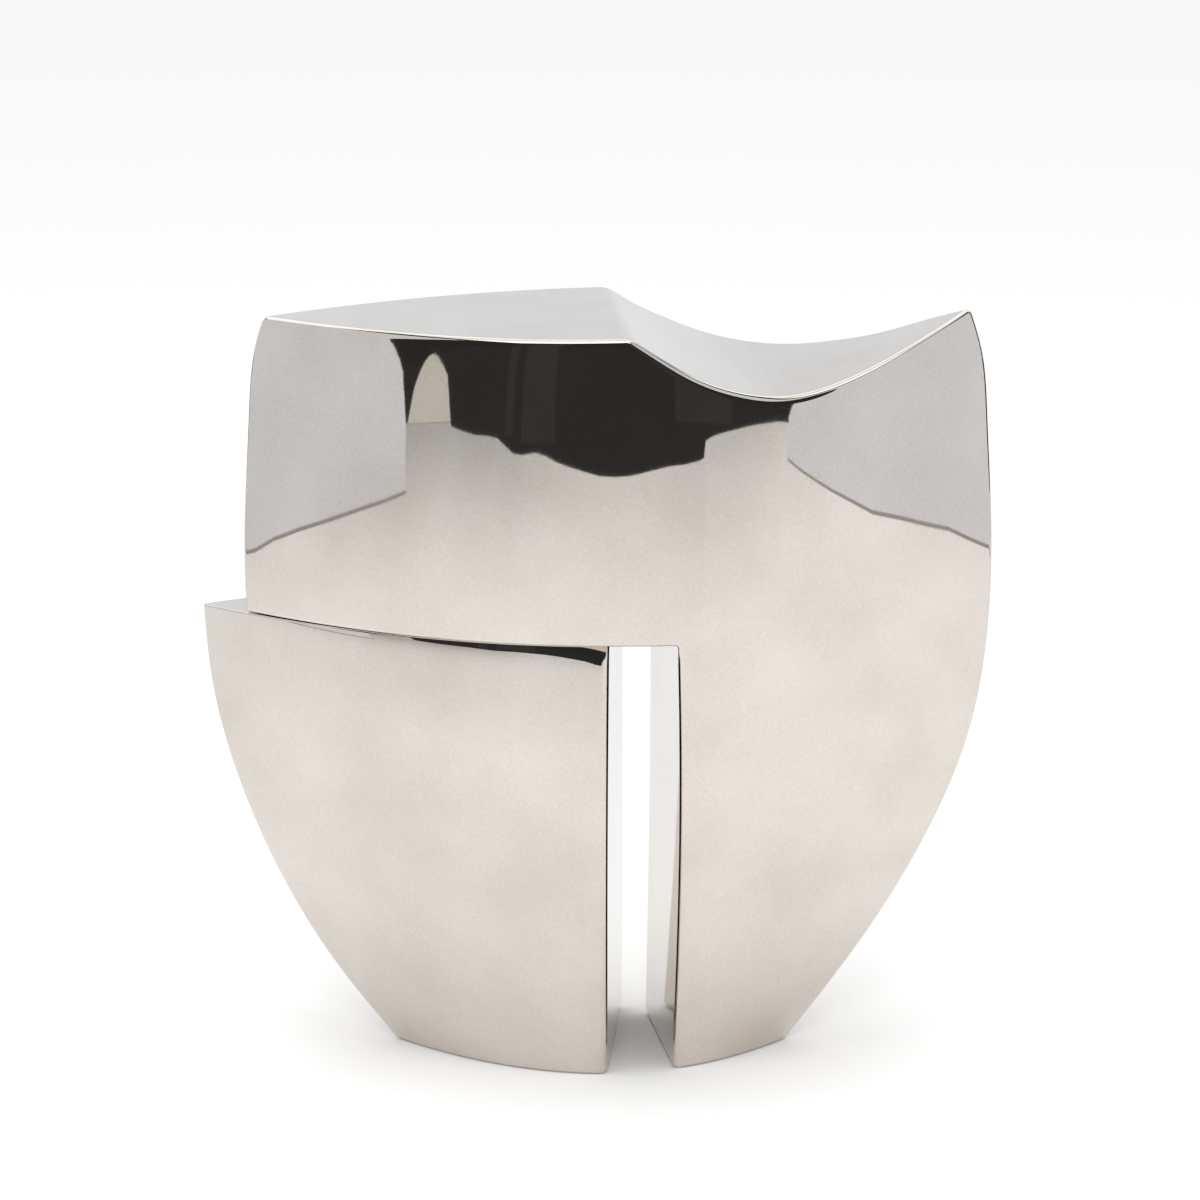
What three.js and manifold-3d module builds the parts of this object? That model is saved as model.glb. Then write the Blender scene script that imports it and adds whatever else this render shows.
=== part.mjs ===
// A polished steel sculpture in two pieces, in millimetres, Z up, front towards -Y.
// The main body is a lens-plan hull with a flat left shoulder, a scooped right shoulder
// and one leg under its right half. A block, the left part of a wider bowl, stands
// beside the leg under the body's level cut, with a tapering slot between the two.
import * as THREE from 'three';
import { mergeVertices } from 'three/addons/utils/BufferGeometryUtils.js';
import Module from 'manifold-3d';

// Heights of the level cut, of the seam under it and of the hull before its top is cut
const CUT_HEIGHT = 191.4;
const SEAM_GAP = 0.3;
const UNCUT_HEIGHT = 332;

// Main body: a lens in plan, symmetric about BODY_CENTRE_X, given at several heights
const BODY_CENTRE_X = 7.5;
const BODY_WIDTH_LEVELS = [0, 45, 90, 135, 180, 230, 275, 305, 320];
const BODY_HALF_WIDTHS = [71.7, 103.6, 129.3, 146.9, 154.5, 155.5, 153.1, 149.8, 145.2];
const BODY_DEPTH_LEVELS = [0, 60, 130, 191, 260, 320];
const BODY_FRONT_Y = [-47.4, -56.0, -68.5, -78.3, -86.0, -85.0];
const BODY_TIP_Y = [0, -4.5, -10.0, -14.5, -15.0, -12.5];
const BODY_BACK_Y = [37.0, 44.5, 50.5, 53.5, 50.5, 41.6];

// Block: the left part of a wider lens, deepest beside the slot
const BLOCK_CENTRE_X = 4;
const BLOCK_WIDTH_LEVELS = [0, 30, 75, 119, 162, 191.4];
const BLOCK_HALF_WIDTHS = [90.4, 113.8, 140.4, 158.0, 168.0, 170.4];
const BLOCK_DEPTH_LEVELS = [0, 60, 120, 165, 191.4];
const BLOCK_FRONT_Y = [-49.8, -60.0, -68.6, -73.2, -74.8];
const BLOCK_TIP_Y = [0.8, 0.8, 0.8, 0.8, 0.8];
const BLOCK_BACK_Y = [45.5, 49.5, 53.0, 55.3, 56.5];

// Slot walls, each ruled between a line at the foot and a line at the cut, then bowed
// to the right at half height
const WALL_FRONT_Y = -65;
const WALL_BACK_Y = 45;
const BLOCK_WALL = { footFront: 1.9, footBack: 9.6, topFront: 4.1, topBack: 9.5, bow: 0 };
const LEG_WALL = { footFront: 33.7, footBack: 18.0, topFront: 30.9, topBack: 22.0, bow: 1.2 };

// Top profile, across the ridge. Its straight lines run front to back with a slant, level
// on the flat shoulder and tilting in the scoop, by the given climb in 100 of depth.
const RULING_SLANT = 0.075;
const RULING_PIVOT_Y = -19;
const RIDGE_S = 7.3;
const RIDGE_HEIGHT = 319.3;
const SHOULDER_TIP_S = -138;
const SHOULDER_TIP_HEIGHT = 316.2;
const SHOULDER_END_S = -170;
const SCOOP_S = [RIDGE_S, 20, 32, 44, 56, 71, 86, 98, 116, 134, 152, 170];
const SCOOP_HEIGHTS = [
  RIDGE_HEIGHT, 311.3, 305.0, 300.1, 296.8, 295.0, 296.1, 298.7, 304.3, 311.7, 319.2, 326.8,
];
const CLIMB_S = [RIDGE_S, 20, 32, 50, 71, 86, 104, 125, 140, 152, 170];
const CLIMBS = [0, 0.3, 1.7, 2.4, 2.8, 1.8, 0, -2.3, -1.0, 0, 0];

// Fineness of the faceted surfaces
const LENS_STEPS = 28;
const LEVEL_STEPS = 26;
const WALL_STEPS = 6;
const SCOOP_STEPS = 26;
const RULING_STEPS = 10;

// How far the cutting shapes reach past the work, and how far below the floor
const REACH = 220;
const BELOW_FLOOR = -10;

// The sections are drawn about the line of the tips, and the finished pieces are placed
// so that the origin is under the middle of the whole work
const PLACE_X = 1.7;
const PLACE_Y = 14.9;

const wasm = await Module();
wasm.setup();

// Natural cubic spline through the values at the given stations
function smoothThrough(stations, values) {
  const last = stations.length - 1;
  const bends = new Array(last + 1).fill(0);
  const ratio = new Array(last + 1).fill(0);
  for (let i = 1; i < last; i += 1) {
    const before = stations[i] - stations[i - 1];
    const after = stations[i + 1] - stations[i];
    const slopeStep = (values[i + 1] - values[i]) / after - (values[i] - values[i - 1]) / before;
    const pivot = 2 * (before + after) - before * ratio[i - 1];
    ratio[i] = after / pivot;
    bends[i] = (6 * slopeStep - before * bends[i - 1]) / pivot;
  }
  for (let i = last - 1; i > 0; i -= 1) {
    bends[i] -= ratio[i] * bends[i + 1];
  }
  return (at) => {
    let k = 0;
    while (k < last - 1 && at > stations[k + 1]) k += 1;
    const span = stations[k + 1] - stations[k];
    const left = (stations[k + 1] - at) / span;
    const right = 1 - left;
    const cubic = (left ** 3 - left) * bends[k] + (right ** 3 - right) * bends[k + 1];
    return left * values[k] + right * values[k + 1] + (cubic * span * span) / 6;
  };
}

// A plan section at every height: half width, and the depths of tips, front and back
const bodyPlan = {
  centreX: BODY_CENTRE_X,
  halfWidth: smoothThrough(BODY_WIDTH_LEVELS, BODY_HALF_WIDTHS),
  tipY: smoothThrough(BODY_DEPTH_LEVELS, BODY_TIP_Y),
  frontY: smoothThrough(BODY_DEPTH_LEVELS, BODY_FRONT_Y),
  backY: smoothThrough(BODY_DEPTH_LEVELS, BODY_BACK_Y),
};
const blockPlan = {
  centreX: BLOCK_CENTRE_X,
  halfWidth: smoothThrough(BLOCK_WIDTH_LEVELS, BLOCK_HALF_WIDTHS),
  tipY: smoothThrough(BLOCK_DEPTH_LEVELS, BLOCK_TIP_Y),
  frontY: smoothThrough(BLOCK_DEPTH_LEVELS, BLOCK_FRONT_Y),
  backY: smoothThrough(BLOCK_DEPTH_LEVELS, BLOCK_BACK_Y),
};

// Point of a lens section: u runs from -1 at the left tip to 1 at the right tip,
// and each side is a parabola between the tips
function lensPoint(plan, u, z, isFront) {
  const tip = plan.tipY(z);
  const middle = isFront ? plan.frontY(z) : plan.backY(z);
  const x = plan.centreX + plan.halfWidth(z) * u;
  return [x, tip + (middle - tip) * (1 - u * u), z];
}

// Closed hull of lens sections stacked from the floor to the given height
function lensHull(plan, height) {
  const positions = [];
  const faces = [];
  const ringSize = 2 * LENS_STEPS;
  for (let level = 0; level <= LEVEL_STEPS; level += 1) {
    const z = (height * level) / LEVEL_STEPS;
    for (let i = 0; i < ringSize; i += 1) {
      const isFront = i < LENS_STEPS;
      const u = isFront ? -1 + (2 * i) / LENS_STEPS : 3 - (2 * i) / LENS_STEPS;
      positions.push(...lensPoint(plan, u, z, isFront));
    }
  }
  for (let level = 0; level < LEVEL_STEPS; level += 1) {
    const low = level * ringSize;
    const high = low + ringSize;
    for (let i = 0; i < ringSize; i += 1) {
      const next = (i + 1) % ringSize;
      faces.push(low + i, low + next, high + next);
      faces.push(low + i, high + next, high + i);
    }
  }
  const top = LEVEL_STEPS * ringSize;
  for (let i = 0; i < LENS_STEPS; i += 1) {
    const front = i;
    const frontNext = i + 1;
    const back = (ringSize - i) % ringSize;
    const backNext = ringSize - i - 1;
    if (i > 0) {
      faces.push(front, back, frontNext);
      faces.push(top + front, top + frontNext, top + back);
    }
    if (i < LENS_STEPS - 1) {
      faces.push(frontNext, back, backNext);
      faces.push(top + frontNext, top + backNext, top + back);
    }
  }
  const geometry = new THREE.BufferGeometry();
  geometry.setAttribute('position', new THREE.Float32BufferAttribute(positions, 3));
  geometry.setIndex(faces);
  return geometry;
}

// Place of a slot wall across the piece at a given depth and height
function wallX(wall, y, z) {
  const along = (y - WALL_FRONT_Y) / (WALL_BACK_Y - WALL_FRONT_Y);
  const rise = z / CUT_HEIGHT;
  const foot = wall.footFront + (wall.footBack - wall.footFront) * along;
  const top = wall.topFront + (wall.topBack - wall.topFront) * along;
  return foot + (top - foot) * rise + 4 * wall.bow * rise * (1 - rise);
}

// Block of space from far left up to a slot wall, between two heights
function spaceLeftOf(wall, lowest, highest) {
  const height = highest - lowest;
  const geometry = new THREE.BoxGeometry(1, 2 * REACH, height, 1, 2 * WALL_STEPS, WALL_STEPS);
  const place = geometry.attributes.position;
  for (let i = 0; i < place.count; i += 1) {
    const y = place.getY(i);
    const z = place.getZ(i) + (lowest + highest) / 2;
    const x = place.getX(i) < 0 ? -REACH : wallX(wall, y, z);
    place.setXYZ(i, x, y, z);
  }
  return geometry;
}

// Space above the shoulders: the top profile carried front to back along its slant, its
// bottom then raised or lowered by the climb of the line that each point lies on
function spaceAboveShoulders() {
  const scoop = smoothThrough(SCOOP_S, SCOOP_HEIGHTS);
  const climb = smoothThrough(CLIMB_S, CLIMBS);
  const outline = new THREE.Shape();
  const shoulderSlope = (RIDGE_HEIGHT - SHOULDER_TIP_HEIGHT) / (RIDGE_S - SHOULDER_TIP_S);
  const shoulderEndHeight = RIDGE_HEIGHT - shoulderSlope * (RIDGE_S - SHOULDER_END_S);
  outline.moveTo(SHOULDER_END_S, shoulderEndHeight);
  outline.lineTo(RIDGE_S, RIDGE_HEIGHT);
  const scoopEnd = SCOOP_S[SCOOP_S.length - 1];
  for (let i = 1; i <= SCOOP_STEPS; i += 1) {
    const s = RIDGE_S + ((scoopEnd - RIDGE_S) * i) / SCOOP_STEPS;
    outline.lineTo(s, scoop(s));
  }
  outline.lineTo(scoopEnd, UNCUT_HEIGHT + REACH);
  outline.lineTo(SHOULDER_END_S, UNCUT_HEIGHT + REACH);
  outline.closePath();
  const run = { depth: 2 * REACH, steps: RULING_STEPS, bevelEnabled: false };
  const geometry = new THREE.ExtrudeGeometry(outline, run);
  const across = new THREE.Vector3(1, 0, 0);
  const up = new THREE.Vector3(0, 0, 1);
  const towardsFront = new THREE.Vector3(RULING_SLANT, -1, 0);
  const slant = new THREE.Matrix4().makeBasis(across, up, towardsFront);
  const backEnd = REACH - RULING_PIVOT_Y;
  slant.setPosition(-RULING_SLANT * backEnd, REACH, 0);
  geometry.applyMatrix4(slant);
  const place = geometry.attributes.position;
  for (let i = 0; i < place.count; i += 1) {
    const depth = place.getY(i) - RULING_PIVOT_Y;
    const s = place.getX(i) + RULING_SLANT * depth;
    const isProfile = place.getZ(i) < UNCUT_HEIGHT;
    if (isProfile && s > RIDGE_S) place.setZ(i, place.getZ(i) + (climb(s) * depth) / 100);
  }
  return geometry;
}

// Solid for cutting, from a closed geometry with its shared corners merged
function solidOf(geometry) {
  const bare = geometry.clone();
  bare.deleteAttribute('normal');
  bare.deleteAttribute('uv');
  const merged = mergeVertices(bare);
  const mesh = new wasm.Mesh({
    numProp: 3,
    vertProperties: new Float32Array(merged.attributes.position.array),
    triVerts: new Uint32Array(merged.index.array),
  });
  return new wasm.Manifold(mesh);
}

// Geometry of a finished solid
function geometryOf(solid) {
  const mesh = solid.getMesh();
  const geometry = new THREE.BufferGeometry();
  geometry.setAttribute('position', new THREE.BufferAttribute(mesh.vertProperties, 3));
  geometry.setIndex(new THREE.BufferAttribute(mesh.triVerts, 1));
  geometry.computeVertexNormals();
  return geometry;
}

// Main body: the whole hull without its top and without the space that the block takes
function mainBodyGeometry() {
  const hull = solidOf(lensHull(bodyPlan, UNCUT_HEIGHT));
  const topped = hull.subtract(solidOf(spaceAboveShoulders()));
  return geometryOf(topped.subtract(solidOf(spaceLeftOf(LEG_WALL, BELOW_FLOOR, CUT_HEIGHT))));
}

// Block: the bowl up to the seam, as far as the block's own slot wall
function lowerBlockGeometry() {
  const bowl = solidOf(lensHull(blockPlan, CUT_HEIGHT - SEAM_GAP));
  return geometryOf(bowl.intersect(solidOf(spaceLeftOf(BLOCK_WALL, BELOW_FLOOR, CUT_HEIGHT))));
}

const bodySteel = new THREE.MeshStandardMaterial({ color: 0xd6d2cd, roughness: 0.06, metalness: 1 });
const blockSteel = new THREE.MeshStandardMaterial({ color: 0xd2ccc4, roughness: 0.06, metalness: 1 });

const mainBody = new THREE.Mesh(mainBodyGeometry(), bodySteel);
mainBody.name = 'main_body';
mainBody.position.set(PLACE_X, PLACE_Y, 0);

const lowerBlock = new THREE.Mesh(lowerBlockGeometry(), blockSteel);
lowerBlock.name = 'lower_block';
lowerBlock.position.set(PLACE_X, PLACE_Y, 0);

const group = new THREE.Group();
group.add(mainBody, lowerBlock);

export default group;
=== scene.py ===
"""A mirror-polished steel sculpture in two pieces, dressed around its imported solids.

The main body is a lens-plan hull with a flat left shoulder, a scooped right shoulder and one
leg. The lower block is part of a wider bowl and stands beside the leg, under the level cut.
Each piece is one closed shell: grids of points on its surfaces, worked out whole with numpy,
whose sharp borders are then settled on to a rounded edge, so that the mirror has true normals.

Lengths in the pieces' classes are millimetres in the drawing frame, where the tips of the lens
stand near y = 0. DRAWING_TO_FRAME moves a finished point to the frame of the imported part, and a
mesh is in metres. The studio is in metres in the frame of the part.
"""

import logging
import math
from abc import ABC, abstractmethod
from collections.abc import Callable
from dataclasses import dataclass
from enum import Enum
from functools import cached_property

import bpy
import numpy as np
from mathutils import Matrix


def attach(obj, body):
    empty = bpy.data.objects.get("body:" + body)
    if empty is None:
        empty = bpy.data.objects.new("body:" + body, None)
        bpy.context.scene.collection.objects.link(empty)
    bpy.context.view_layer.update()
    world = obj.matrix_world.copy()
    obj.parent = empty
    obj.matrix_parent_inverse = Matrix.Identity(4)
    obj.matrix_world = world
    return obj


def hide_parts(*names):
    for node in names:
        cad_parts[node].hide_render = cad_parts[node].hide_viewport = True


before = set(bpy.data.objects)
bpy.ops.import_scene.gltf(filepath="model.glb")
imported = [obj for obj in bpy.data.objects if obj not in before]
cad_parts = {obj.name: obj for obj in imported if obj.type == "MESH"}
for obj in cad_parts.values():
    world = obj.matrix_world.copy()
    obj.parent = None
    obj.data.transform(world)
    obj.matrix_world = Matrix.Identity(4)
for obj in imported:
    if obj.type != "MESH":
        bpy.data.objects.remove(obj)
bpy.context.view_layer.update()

LOG = logging.getLogger("sculpture")
BODY_NAME = "root"

MM = 0.001
DRAWING_TO_FRAME = np.array([1.7, 14.9, 0.0])
CUT_HEIGHT = 191.4
SEAM_GAP = 0.3

EDGE_RADIUS = 3.0
WALL_EDGE_RADIUS = 3.4
WALL_EDGE_CLEAR = 3.0
WALL_EDGE_CHANGE = 5.0
CUT_EDGE_RADIUS = 1.3
BLOCK_TOP_RADIUS = 0.8
RIDGE_RADIUS = 1.6
INNER_CORNER_RADIUS = 1.4
FOOT_RADIUS = 1.8

ARC_STEPS = 5
ROWS_BEYOND_ARC = (1.4, 2.2)
DEPTH_ROWS = 40
SHORTEST_LINE = 1e-9
MERGE_DIGITS = 4
SETTLE_ROUNDS = 8
SLOPE_STEP = 1e-4
MEETING_ROUNDS = 30

WHITE = (1.0, 1.0, 1.0)

Array = np.ndarray
Distance = Callable[[Array], Array]
Point = tuple[float, float, float]
PlanPoint = tuple[float, float]
Node = bpy.types.Node
Socket = bpy.types.NodeSocket
Tree = bpy.types.NodeTree


class Side(Enum):
    """The two curved faces of a lens section."""

    FRONT = 1.0
    BACK = -1.0


@dataclass(frozen=True)
class Curve:
    """Natural cubic spline through values at stations, straight beyond both ends.

    Args:
        stations: Rising places along the curve.
        values: Value at each station.
    """

    stations: tuple[float, ...]
    values: tuple[float, ...]

    @cached_property
    def bends(self) -> Array:
        """Solves the spline's equations, with no bend at the ends.

        Returns:
            Second derivative at each station.
        """
        step = np.diff(self.stations)
        bend_jumps = 6.0 * np.diff(np.diff(self.values) / step)
        matrix = np.diag(2.0 * (step[:-1] + step[1:]))
        matrix += np.diag(step[1:-1], 1) + np.diag(step[1:-1], -1)
        return np.concatenate(([0.0], np.linalg.solve(matrix, bend_jumps), [0.0]))

    def _span(self, place: Array) -> tuple[Array, Array, Array, Array]:
        """Finds where places lie between the stations.

        Args:
            place: Places along the curve.

        Returns:
            Index of the span, its length, and the shares of its left and right ends.
        """
        stations = np.array(self.stations)
        inside = np.clip(place, stations[0], stations[-1])
        index = np.clip(np.searchsorted(stations, inside, side="right") - 1, 0, len(stations) - 2)
        length = stations[index + 1] - stations[index]
        left = (stations[index + 1] - inside) / length
        return index, length, left, 1.0 - left

    def slope(self, place: Array) -> Array:
        """Slope of the curve: the chord's slope plus the change that the two bends give.

        Args:
            place: Places along the curve.

        Returns:
            Slopes there.
        """
        index, length, left, right = self._span(place)
        chord = np.diff(self.values)[index] / length
        turn = (3.0 * right**2 - 1.0) * self.bends[index + 1]
        turn -= (3.0 * left**2 - 1.0) * self.bends[index]
        return chord + turn * length / 6.0

    def at(self, place: Array) -> Array:
        """Value of the curve: the chord plus the cubic bulge of the two bends.

        Args:
            place: Places along the curve.

        Returns:
            Values there, on the end's tangent beyond either end.
        """
        index, length, left, right = self._span(place)
        values = np.array(self.values)
        bulge = (left**3 - left) * self.bends[index] + (right**3 - right) * self.bends[index + 1]
        inside = left * values[index] + right * values[index + 1] + bulge * length**2 / 6.0
        beyond = place - np.clip(place, self.stations[0], self.stations[-1])
        return inside + beyond * self.slope(place)


@dataclass(frozen=True)
class FrontLip:
    """The way a front face turns in under its top edge, as polishing leaves it.

    The inset is the depth times a power of the share of the way up, and it grows towards the
    slot by a factor of 1 + growth exp(-distance / reach).

    Args:
        depth: How far back the face lies at the top.
        start: Height where it begins to turn in.
        end: Height of the top.
        corner_x: Place of the slot's edge across the piece.
        growth: How much deeper the inset is at the slot's edge.
        reach: Distance from that edge over which the growth fades.
        power: The power of the way up.
    """

    depth: float
    start: float
    end: float
    corner_x: float = 4.1
    growth: float = 4.4
    reach: float = 6.5
    power: int = 5

    def _parts(self, x: Array, z: Array) -> tuple[Array, Array]:
        """Share of the way up, and the growth at a place across the piece."""
        share = np.maximum((z - self.start) / (self.end - self.start), 0.0)
        return share, self.growth * np.exp(np.minimum(x - self.corner_x, 0.0) / self.reach)

    def inset(self, x: Array, z: Array) -> Array:
        """Inset of the face at a place across the piece and a height."""
        share, growth = self._parts(x, z)
        return self.depth * share**self.power * (1.0 + growth)

    def slopes(self, x: Array, z: Array) -> tuple[Array, Array]:
        """Change of the inset, by the derivatives of its power and its growth.

        Args:
            x: Places across the piece.
            z: Heights.

        Returns:
            Change for each unit across the piece, and for each unit of height.
        """
        share, growth = self._parts(x, z)
        steepness = self.power * self.depth * share ** (self.power - 1) / (self.end - self.start)
        sideways = self.depth * share**self.power * growth / self.reach
        return np.where(x < self.corner_x, sideways, 0.0), steepness * (1.0 + growth)


@dataclass(frozen=True)
class LensPlan:
    """A stack of lens sections: two parabolas that meet at a left and a right tip.

    A section at height z has y = tip + (middle - tip) (1 - u u), where u is the distance
    from the centre line as a share of the half width. The lip sets the front's middle back.

    Args:
        centre_x: Place of the centre line.
        half_width: Half width over height.
        tip_y: Depth of the tips over height.
        front_y: Depth of the front's middle over height.
        back_y: Depth of the back's middle over height.
        tip_allowance: How far the tips stand proud before their edges are rounded.
        lip: The turn of the front under its top edge.
    """

    centre_x: float
    half_width: Curve
    tip_y: Curve
    front_y: Curve
    back_y: Curve
    tip_allowance: float
    lip: FrontLip

    def half(self, z: Array) -> Array:
        """Half width at a height, with the allowance at the tips."""
        return self.half_width.at(z) + self.tip_allowance

    def x_at(self, u: Array, z: Array) -> Array:
        """Place across the piece of a share u of the half width."""
        return self.centre_x + self.half(z) * u

    def y_at(self, side: Side, x: Array, z: Array) -> Array:
        """Depth of a face: the parabola of its section.

        Args:
            side: Front or back face.
            x: Places across the piece.
            z: Heights.

        Returns:
            Depth of the face there.
        """
        middle = self.front_y if side is Side.FRONT else self.back_y
        tip = self.tip_y.at(z)
        share = (x - self.centre_x) / self.half(z)
        inset = self.lip.inset(x, z) if side is Side.FRONT else 0.0
        return tip + (middle.at(z) + inset - tip) * (1.0 - share**2)

    def grid(self, side: Side, x: Array, z: Array) -> Array:
        """Points of a face at places across the piece and heights."""
        z = np.broadcast_to(z, x.shape)
        return np.stack((x, self.y_at(side, x, z), z), axis=-1)

    def gap(self, side: Side, points: Array) -> Array:
        """Signed distance to a face, to first order: depth beyond it over its gradient.

        Args:
            side: Front or back face.
            points: Points, one row each.

        Returns:
            Distance of each point, negative inside the piece.
        """
        x, y, z = points.T
        middle = self.front_y if side is Side.FRONT else self.back_y
        half = self.half(z)
        share = (x - self.centre_x) / half
        bulge = 1.0 - share**2
        reach, lip_sideways, lip_up = middle.at(z) - self.tip_y.at(z), 0.0, 0.0
        if side is Side.FRONT:
            reach = reach + self.lip.inset(x, z)
            lip_sideways, lip_up = self.lip.slopes(x, z)
        sideways = lip_sideways * bulge - 2.0 * reach * share / half
        tip_slope = self.tip_y.slope(z)
        up = tip_slope + (middle.slope(z) + lip_up - tip_slope) * bulge
        up += 2.0 * reach * share**2 * self.half_width.slope(z) / half
        return side.value * (self.y_at(side, x, z) - y) / np.sqrt(1.0 + sideways**2 + up**2)

    def hull(self, points: Array) -> Array:
        """Signed distance to what lies between both faces, with rounded tips."""
        return rounded_both(self.gap(Side.FRONT, points), self.gap(Side.BACK, points), EDGE_RADIUS)


@dataclass(frozen=True)
class SlotWall:
    """A ruled wall beside the slot, from a line at the foot to a line at the cut.

    Args:
        foot: Places across the piece at the foot, at the front and the back line.
        top: The same at the level cut.
        bow: How far the wall bulges to the right at half height.
        front_line: Depth of the front line.
        back_line: Depth of the back line.
    """

    foot: PlanPoint
    top: PlanPoint
    bow: float
    front_line: float = -65.0
    back_line: float = 45.0

    def _lines(self, y: Array) -> tuple[Array, Array]:
        """Places of the foot's line and of the cut's line at a depth."""
        along = (y - self.front_line) / (self.back_line - self.front_line)
        return tuple(front + (back - front) * along for front, back in (self.foot, self.top))

    def x_at(self, y: Array, z: Array) -> Array:
        """Place of the wall: its foot and top lines mixed by height, plus the bow's parabola."""
        (foot, top), rise = self._lines(y), z / CUT_HEIGHT
        return foot + (top - foot) * rise + 4.0 * self.bow * rise * (1.0 - rise)

    def gap(self, points: Array) -> Array:
        """Signed distance to the wall, to first order: place beyond it over its gradient.

        Args:
            points: Points, one row each.

        Returns:
            Distance of each point, negative on the wall's left.
        """
        x, y, z = points.T
        foot, top = self._lines(y)
        rise = z / CUT_HEIGHT
        turn = (self.foot[1] - self.foot[0]) * (1.0 - rise) + (self.top[1] - self.top[0]) * rise
        turn = turn / (self.back_line - self.front_line)
        lean = (top - foot + 4.0 * self.bow * (1.0 - 2.0 * rise)) / CUT_HEIGHT
        return (x - self.x_at(y, z)) / np.sqrt(1.0 + turn**2 + lean**2)

    def corner(self, plan: LensPlan, side: Side, z: Array) -> Array:
        """Place across the piece where the wall meets a face, found by going to and fro.

        Args:
            plan: The lens sections.
            side: Front or back face.
            z: Heights.

        Returns:
            Place across the piece at each height.
        """
        x = self.x_at(np.zeros_like(z), z)
        for _ in range(MEETING_ROUNDS):
            x = self.x_at(plan.y_at(side, x, z), z)
        return x

    def grid(self, front: Array, back: Array) -> Array:
        """Grid of the wall, between its edges on the two faces.

        Args:
            front: The wall's edge on the front face, one point a row.
            back: The same on the back face.

        Returns:
            Grid of points, one level row for each pair.
        """
        grid = span_lines(front, back, wall_edge_radius(front[:, 2]))
        grid[..., 0] = self.x_at(grid[..., 1], grid[..., 2])
        return grid


@dataclass(frozen=True)
class TopProfile:
    """The two shoulders: one profile carried front to back along slanting straight lines.

    A line is named by its place s on the profile. The flat shoulder's height is a straight
    slope over s. A line of the scoop also climbs towards the back, so the scoop's height is
    scoop(s) + climb(s) (y - pivot) / climb run.

    Args:
        slant: How far the lines lean to the left for each unit of depth.
        pivot_y: Depth where the profile is drawn.
        ridge: Place and height of the ridge between the shoulders.
        shoulder_tip: Place and height of the left shoulder's end.
        scoop: Height of the right shoulder along the profile.
        climb: Rise of each line of the scoop in one climb run of depth.
        climb_run: Depth over which the climb is given.
    """

    slant: float
    pivot_y: float
    ridge: PlanPoint
    shoulder_tip: PlanPoint
    scoop: Curve
    climb: Curve
    climb_run: float = 100.0

    def along(self, x: Array, y: Array) -> Array:
        """Place along the profile of the straight line through a point of the plan."""
        return x + self.slant * (y - self.pivot_y)

    def shoulder_slope(self) -> float:
        """Slope of the flat left shoulder along the profile."""
        return (self.ridge[1] - self.shoulder_tip[1]) / (self.ridge[0] - self.shoulder_tip[0])

    def heights(self, x: Array, y: Array) -> tuple[Array, Array]:
        """Heights of the two shoulders' surfaces.

        Args:
            x: Places across the piece.
            y: Depths.

        Returns:
            Height of the flat shoulder and of the scoop.
        """
        s = self.along(x, y)
        flat = self.ridge[1] + self.shoulder_slope() * (s - self.ridge[0])
        return flat, self.scoop.at(s) + self.climb.at(s) * (y - self.pivot_y) / self.climb_run

    def height(self, x: Array, y: Array) -> Array:
        """Height of the top before its ridge is rounded: the lower of the two shoulders."""
        return np.minimum(*self.heights(x, y))

    def gap(self, points: Array) -> Array:
        """Signed distance to the top: both shoulders, joined at a round ridge.

        Args:
            points: Points, one row each.

        Returns:
            Distance of each point, negative below the top.
        """
        x, y, z = points.T
        s = self.along(x, y)
        flat, scooped = self.heights(x, y)
        over_flat = (z - flat) / np.sqrt(1.0 + self.shoulder_slope() ** 2 * (1.0 + self.slant**2))
        climb = self.climb.at(s) / self.climb_run
        slope = self.scoop.slope(s) + self.climb.slope(s) * (y - self.pivot_y) / self.climb_run
        over_scoop = (z - scooped) / np.sqrt(1.0 + slope**2 + (self.slant * slope + climb) ** 2)
        return rounded_both(over_flat, over_scoop, RIDGE_RADIUS)


def rounded_both(first: Array, second: Array, radius: float | Array) -> Array:
    """Signed distance to what two solids share, with an arc along the edge where they meet.

    Past the radius the larger distance counts. Within it the length of the two overlaps
    with the radius counts, less the radius, which is a round arc for a right-angled edge.

    Args:
        first: Signed distances to the first solid.
        second: Signed distances to the second solid.
        radius: Radius of the edge, one for all or one for each point.

    Returns:
        Signed distances to the shared solid.
    """
    overlap = np.hypot(np.maximum(first + radius, 0.0), np.maximum(second + radius, 0.0))
    return overlap + np.minimum(np.maximum(first, second), -radius)


def wall_edge_radius(z: Array) -> Array:
    """Radius of the slot's edges: full along the walls, and small where they near the cut."""
    share = np.clip((CUT_HEIGHT - WALL_EDGE_CLEAR - z) / WALL_EDGE_CHANGE, 0.0, 1.0)
    return CUT_EDGE_RADIUS + (WALL_EDGE_RADIUS - CUT_EDGE_RADIUS) * share


def slope_of(distance: Distance, points: Array) -> Array:
    """Gradient of a distance by central differences.

    Args:
        distance: The signed distance.
        points: Points, one row each.

    Returns:
        Gradient at each point, one row each.
    """
    steps = SLOPE_STEP * np.eye(3)
    changes = [distance(points + step) - distance(points - step) for step in steps]
    return np.stack(changes, axis=1) / (2.0 * SLOPE_STEP)


def settle(distance: Distance, points: Array) -> tuple[Array, Array]:
    """Moves points on to a surface along its gradient, by Newton's method.

    Args:
        distance: Signed distance to the surface.
        points: Points near it, one row each.

    Returns:
        The points on the surface and its unit normals there.
    """
    for _ in range(SETTLE_ROUNDS):
        slope = slope_of(distance, points)
        points = points - slope * (distance(points) / np.sum(slope**2, axis=1))[:, None]
    slope = slope_of(distance, points)
    return points, slope / np.linalg.norm(slope, axis=1)[:, None]


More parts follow.
